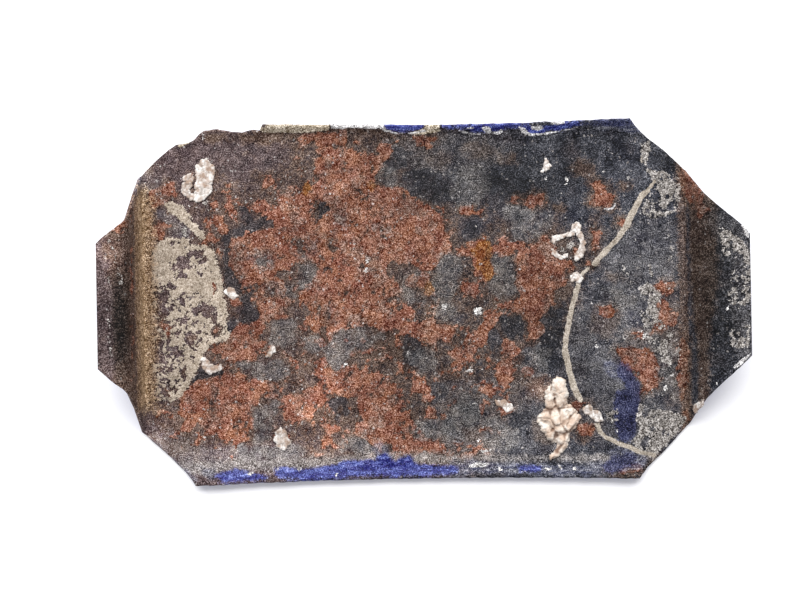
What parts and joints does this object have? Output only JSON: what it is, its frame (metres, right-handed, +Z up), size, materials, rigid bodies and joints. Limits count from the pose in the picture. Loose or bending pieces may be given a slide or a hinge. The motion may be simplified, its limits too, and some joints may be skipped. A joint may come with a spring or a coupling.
{
  "type": "house number plate",
  "caption": "Enamelled steel plate for a house number: a flat panel with turned-back long edges, and folded end flanges that bear on the wall.",
  "frame": {"origin": "middle of the plate's outline, on the surface that its front face lies on", "axes": "+X along the plate to its softer folded end, +Y across it, +Z up out of its back"},
  "size_m": [0.19, 0.109, 0.017],
  "materials": {
    "plate": "worn vitreous enamel over steel, rusted, with mortar residue"
  },
  "bodies": {
    "root": {"plate": "plate"}
  },
  "joints": []
}
